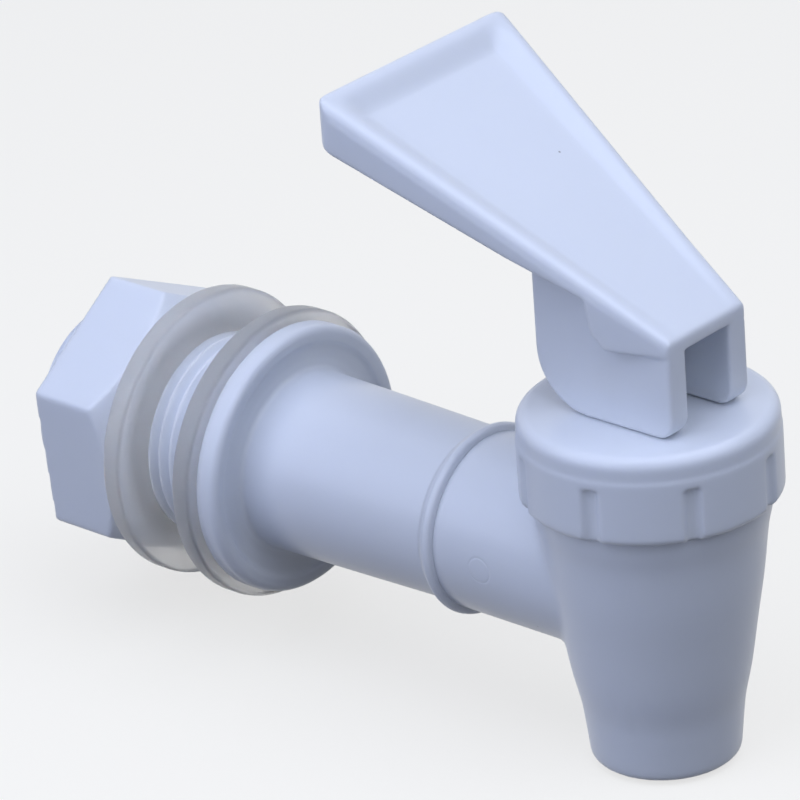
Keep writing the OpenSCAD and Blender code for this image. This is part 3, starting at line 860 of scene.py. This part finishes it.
class SPIGOT_OT_nut(bpy.types.Operator):
    """Hexagon nut with chamfered corners and a round collar"""

    bl_idname = "spigot.nut"
    bl_label = "Nut"

    def execute(self, context):
        sizes = context.scene.spigot_sizes
        across, first, rounding = 32.3, 34.4, 0.8
        corner = across / 2 / math.cos(math.radians(30))
        low, high = NUT_LOW.x, NUT_HIGH.x
        shoulder, collar_r = high - 1.2, across / 2 - 0.3
        thread_r, mouth_r, lead = 13.2, 14.4, 1.1
        turns = [math.radians(first + 60 * k) for k in range(6)]
        hexagon = [(corner * math.cos(a), corner * math.sin(a)) for a in turns]
        nut = prism("nut", rounded(hexagon, (rounding,) * 6, 4), "YZ", low, shoulder)
        combine(nut, turned("corner_cut", [
            (0, low), (corner - 0.3, low), (corner + 0.2, low + 0.3),
            (corner + 0.2, shoulder - 2.3), (collar_r, shoulder), (0, shoulder),
        ], "X", steps=96, closed=False), "INTERSECT")
        combine(nut, turned("collar", [
            (0, shoulder - 1), (collar_r, shoulder - 1), (collar_r, high - 0.25),
            (collar_r - 0.25, high), (0, high),
        ], "X", steps=96, closed=False), "UNION")
        combine(nut, turned("nut_bore", [
            (0, low - 1), (mouth_r, low - 1), (mouth_r, low), (thread_r, low + lead),
            (thread_r, high - lead), (mouth_r, high), (mouth_r, high + 1), (0, high + 1),
        ], "X", steps=96, closed=False))
        moulded(nut, sizes.voxel * 1.2, passes=2)
        nut.name = "moulded_nut"
        to_frame(nut, "nut", "white_plastic", "moulded_plastic", "hex_nut")
        return {"FINISHED"}


class SPIGOT_OT_washers(bpy.types.Operator):
    """The two silicone washers"""

    bl_idname = "spigot.washers"
    bl_label = "Washers"

    def execute(self, context):
        hole_r, mouth_r, lead, edge = 13.14, 13.25, 0.15, 0.6
        for name, low, high, body in (
            ("washer_front", WASHER_F_LOW, WASHER_F_HIGH, "tap"),
            ("washer_rear", WASHER_R_LOW, WASHER_R_HIGH, "rear_washer"),
        ):
            r = (high.z - low.z) / 2
            rim = arc((low.x + edge, r - edge), edge, 180, 90, 6)
            rim += arc((high.x - edge, r - edge), edge, 90, 0, 6)
            washer = turned("silicone_" + name, [
                (hole_r, low.x + lead), (mouth_r, low.x), *as_profile(rim),
                (mouth_r, high.x), (hole_r, high.x - lead),
            ], "X", steps=128)
            to_frame(washer, body, "silicone", "silicone_rubber", name, angle=40)
        return {"FINISHED"}


class SPIGOT_OT_valve(bpy.types.Operator):
    """Stem with its pivot pins, the bell seal and the spring"""

    bl_idname = "spigot.valve"
    bl_label = "Stem, seal and spring"

    def execute(self, context):
        centre = (STEM_X, 0, 0)
        foot, pivot_top = STEM_LOW.z, PIVOT_Z + 1.2
        barb_r, rod_r, neck_r, collar_r, collar_z = 4.2, 2.6, 3.0, 5.4, 2.1
        eye_r, eye_w = 3.4, 6.3
        pin_r, pins_w = 2.0, STEM_HIGH.y - STEM_LOW.y
        stray = 0.01
        stem = turned("stem_rod", [
            (0, foot), (2.2, foot), (2.4, foot + 0.2), (barb_r, foot + 2.0),
            (barb_r, foot + 2.8), (rod_r, foot + 2.8), (rod_r, collar_z),
            (collar_r - 0.3, collar_z), (collar_r, collar_z + 0.3), (collar_r, collar_z + 1.3),
            (neck_r + 0.3, collar_z + 1.3), (neck_r, collar_z + 1.6), (neck_r, pivot_top),
            (0, pivot_top),
        ], "Z", centre, 64, closed=False)
        combine(stem, self.drum("eye", eye_r, eye_w, 64), "UNION")
        combine(stem, self.drum("pins", pin_r, pins_w, 48), "UNION")
        with editing(stem):
            bpy.ops.mesh.remove_doubles(threshold=stray)
            bpy.ops.mesh.dissolve_degenerate(threshold=stray)
            bpy.ops.mesh.delete_loose(use_verts=True, use_edges=True, use_faces=False)
        stem.name = "moulded_stem"
        to_frame(stem, "stem", "white_plastic", "moulded_plastic", "stem", angle=35)
        self.seal(centre)
        self.coil()
        return {"FINISHED"}

    def drum(self, name, radius, width, steps):
        """Round bar across the stem at the lever's pivot, with chamfered ends."""
        half, edge = width / 2, 0.3
        return turned(name, [
            (0, -half), (radius - edge, -half), (radius, -half + edge), (radius, half - edge),
            (radius - edge, half), (0, half),
        ], "Y", (STEM_X, 0, PIVOT_Z), steps, closed=False)

    def seal(self, centre):
        """Bell seal: a solid plug that rises whole, and the thin bell over it."""
        top, low = SEAL_HIGH.z, SEAL_LOW.z
        seat, hem, rim = low + 1.3, 2.3, 18.55
        plug_r, hem_r, bell_r, wall_r, rim_r = 7.4, 9.0, 9.35, 7.6, 13.1
        outside = [(0, low), (4.0, low), (4.3, low + 0.15)]
        outside += [(5.3, seat), (6.8, seat), (7.2, seat + 0.2), (plug_r, seat + 0.6)]
        outside += flow([(plug_r, -4.0), (8.0, -2.5), (8.75, 0.5), (hem_r, hem)], 5)
        inside = [(wall_r, hem), (5.5, 2.0), (2.7, 2.0), (2.7, -0.8), (4.3, -0.8), (4.3, -1.7),
                  (2.5, -3.8), (0, -3.8)]
        plug = turned("seal_plug", outside + inside, "Z", centre, 96, closed=False)
        bell = turned("seal_bell", [
            *flow([(hem_r, hem), (9.3, 10.0), (bell_r, 17.0)], 5), (11.0, rim), (rim_r, rim),
            (rim_r, top), (8.2, top), (8.0, 17.5), (7.8, 3.5), (wall_r, hem),
        ], "Z", centre, 96)
        for piece in (plug, bell):
            to_frame(piece, "valve", "silicone", "silicone_rubber", "seat_cup", angle=40)
        self.squeeze(bell, hem, rim)

    def squeeze(self, piece, low, high):
        """Gives piece a mesh of its own."""
        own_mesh(piece)

    def coil(self):
        """Coil spring between the stem's collar and the cap."""
        turns, per_turn, flat_ends = 8, 24, 3
        ring, wire_r = 4.5, 0.5
        low, high = SPRING_LOW.z + wire_r, SPRING_HIGH.z - wire_r
        bpy.ops.curve.primitive_nurbs_path_add()
        path = bpy.context.object
        path.name = "coil_spring"
        curve = path.data
        curve.splines.clear()
        spline = curve.splines.new("POLY")
        spline.points.add(turns * per_turn)
        for i, point in enumerate(spline.points):
            s = i / (turns * per_turn)
            rise = s - math.sin(math.tau * s) * flat_ends / turns / math.tau
            a = math.tau * turns * s
            point.co = (STEM_X + ring * math.cos(a), ring * math.sin(a),
                        low + (high - low) * rise, 1)
        curve.dimensions = "3D"
        curve.bevel_depth = wire_r
        curve.bevel_resolution = 3
        curve.use_fill_caps = True
        pick(path)
        bpy.ops.object.convert(target="MESH")
        spring = to_frame(bpy.context.object, "valve", "spring_steel", "spring_steel", "spring",
                          angle=40)
        self.squeeze(spring, SPRING_LOW.z, SPRING_HIGH.z)


# Stage

class SPIGOT_OT_stage(bpy.types.Operator):
    """Floor, lights, world and camera"""

    bl_idname = "spigot.stage"
    bl_label = "Stage"

    def execute(self, context):
        self.camera()
        self.floor(context.scene.spigot_colours.floor)
        self.lights()
        self.world()
        context.scene.view_settings.view_transform = "Standard"
        return {"FINISHED"}

    def camera(self):
        """The photograph's viewpoint, solved from the tap's own outlines."""
        azimuth, elevation, roll = (math.radians(v) for v in (42.99, 25.14, -4.35))
        target = Vector((FLANGE_X + 19.96, 0, 12.67)) * MM
        distance = 742.07 * MM
        back = Vector((
            math.sin(azimuth) * math.cos(elevation),
            -math.cos(azimuth) * math.cos(elevation),
            math.sin(elevation),
        ))
        right = Vector((math.cos(azimuth), math.sin(azimuth), 0))
        up = back.cross(right)
        x = math.cos(roll) * right + math.sin(roll) * up
        y = -math.sin(roll) * right + math.cos(roll) * up
        bpy.ops.object.camera_add()
        camera = bpy.context.object
        camera.name = "photo_camera"
        camera.data.sensor_width = 36
        camera.data.lens = 270
        camera.data.clip_start = 0.01
        camera.data.clip_end = 20
        turn = Matrix((x, y, back)).transposed().to_4x4()
        camera.matrix_world = Matrix.Translation(target + back * distance) @ turn
        bpy.context.scene.camera = camera

    def floor(self, colour):
        """Pale floor just under the outlet, nearly white to the camera."""
        middle_x, gap, shine = 30 * MM, 0.5 * MM, 0.7
        place = (middle_x, 0, SPOUT_LOW.z * MM - gap)
        bpy.ops.mesh.primitive_plane_add(size=8, location=place)
        floor = bpy.context.object
        floor.name = "floor"
        material = bpy.data.materials.new("pale_floor")
        material.use_nodes = True
        tree = material.node_tree
        tree.nodes.clear()
        out = add_node(tree, "ShaderNodeOutputMaterial", (700, 0))
        matte = add_node(tree, "ShaderNodeBsdfDiffuse", (0, 100), Color=(*colour, 1))
        dim = add_node(tree, "ShaderNodeBsdfDiffuse", (300, 200), Color=(0.15, 0.15, 0.16, 1))
        white = add_node(tree, "ShaderNodeEmission", (0, -100), Color=(1, 1, 1, 1), Strength=1.0)
        shown = mixed(tree, (300, 0), shine, matte.outputs[0], white.outputs[0])
        seen = mixed(tree, (500, 0), self.background_rays(tree), dim.outputs[0], shown)
        tree.links.new(seen, out.inputs["Surface"])
        floor.data.materials.append(material)

    def background_rays(self, tree):
        """Socket that is 1 for the rays that show the background: camera, glossy, transmitted."""
        ray = add_node(tree, "ShaderNodeLightPath", (-500, 400)).outputs
        first = maths(tree, "MAXIMUM", (-300, 400), ray["Is Camera Ray"], ray["Is Glossy Ray"])
        return maths(tree, "MAXIMUM", (-150, 300), first, ray["Is Transmission Ray"])

    def lights(self):
        """Soft boxes overhead, in front and to the left."""
        aim = Vector((35, 0, 15)) * MM
        daylight, shade = (0.73, 0.80, 1.0), (0.66, 0.74, 1.0)
        for name, offset, size, power, colour in (
            ("overhead", (-0.05, 0.05, 0.75), 1.00, 2.9, daylight),
            ("front_top", (0.39, 0.01, 0.57), 0.80, 3.1, daylight),
            ("left", (-0.15, -0.50, 0.36), 0.70, 2.65, shade),
        ):
            place = aim + Vector(offset)
            bpy.ops.object.light_add(type="AREA", location=place)
            lamp = bpy.context.object
            lamp.name = name
            lamp.data.size = size
            lamp.data.energy = power
            lamp.data.color = colour
            lamp.rotation_euler = (aim - place).to_track_quat("-Z", "Y").to_euler()

    def world(self):
        """Pale world that is white to the camera."""
        world = bpy.data.worlds.new("studio")
        bpy.context.scene.world = world
        world.use_nodes = True
        tree = world.node_tree
        tree.nodes.clear()
        out = add_node(tree, "ShaderNodeOutputWorld", (600, 0))
        soft = add_node(tree, "ShaderNodeBackground", (0, 0), Color=(0.66, 0.77, 1.0, 1),
                        Strength=0.05)
        white = add_node(tree, "ShaderNodeBackground", (0, -200), Color=(1, 1, 1, 1), Strength=1.0)
        seen = mixed(tree, (300, 0), self.background_rays(tree), soft.outputs[0], white.outputs[0])
        tree.links.new(seen, out.inputs["Surface"])


class SPIGOT_PT_panel(bpy.types.Panel):
    """Sidebar panel that lists the pieces"""

    bl_idname = "SPIGOT_PT_panel"
    bl_label = "Spigot"
    bl_space_type = "VIEW_3D"
    bl_region_type = "UI"
    bl_category = "Spigot"

    def draw(self, context):
        layout = self.layout
        for operator in OPERATORS:
            layout.operator(operator.bl_idname)
        for group in (context.scene.spigot_sizes, context.scene.spigot_colours):
            for name in group.__annotations__:
                layout.prop(group, name)


OPERATORS = (
    SPIGOT_OT_finishes,
    SPIGOT_OT_shank,
    SPIGOT_OT_spout,
    SPIGOT_OT_cap,
    SPIGOT_OT_lever,
    SPIGOT_OT_nut,
    SPIGOT_OT_washers,
    SPIGOT_OT_valve,
    SPIGOT_OT_stage,
)
CLASSES = (SpigotSizes, SpigotColours, *OPERATORS, SPIGOT_PT_panel)


def register():
    for cls in CLASSES:
        bpy.utils.register_class(cls)
    bpy.types.Scene.spigot_sizes = bpy.props.PointerProperty(type=SpigotSizes)
    bpy.types.Scene.spigot_colours = bpy.props.PointerProperty(type=SpigotColours)


def unregister():
    del bpy.types.Scene.spigot_colours
    del bpy.types.Scene.spigot_sizes
    for cls in reversed(CLASSES):
        bpy.utils.unregister_class(cls)


def main():
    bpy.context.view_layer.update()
    register()
    bpy.ops.object.select_all(action="DESELECT")
    bpy.ops.spigot.finishes()
    bpy.ops.spigot.shank()
    bpy.ops.spigot.spout()
    bpy.ops.spigot.cap()
    bpy.ops.spigot.lever()
    bpy.ops.spigot.nut()
    bpy.ops.spigot.washers()
    bpy.ops.spigot.valve()
    bpy.ops.spigot.stage()


if __name__ == "__main__":
    main()
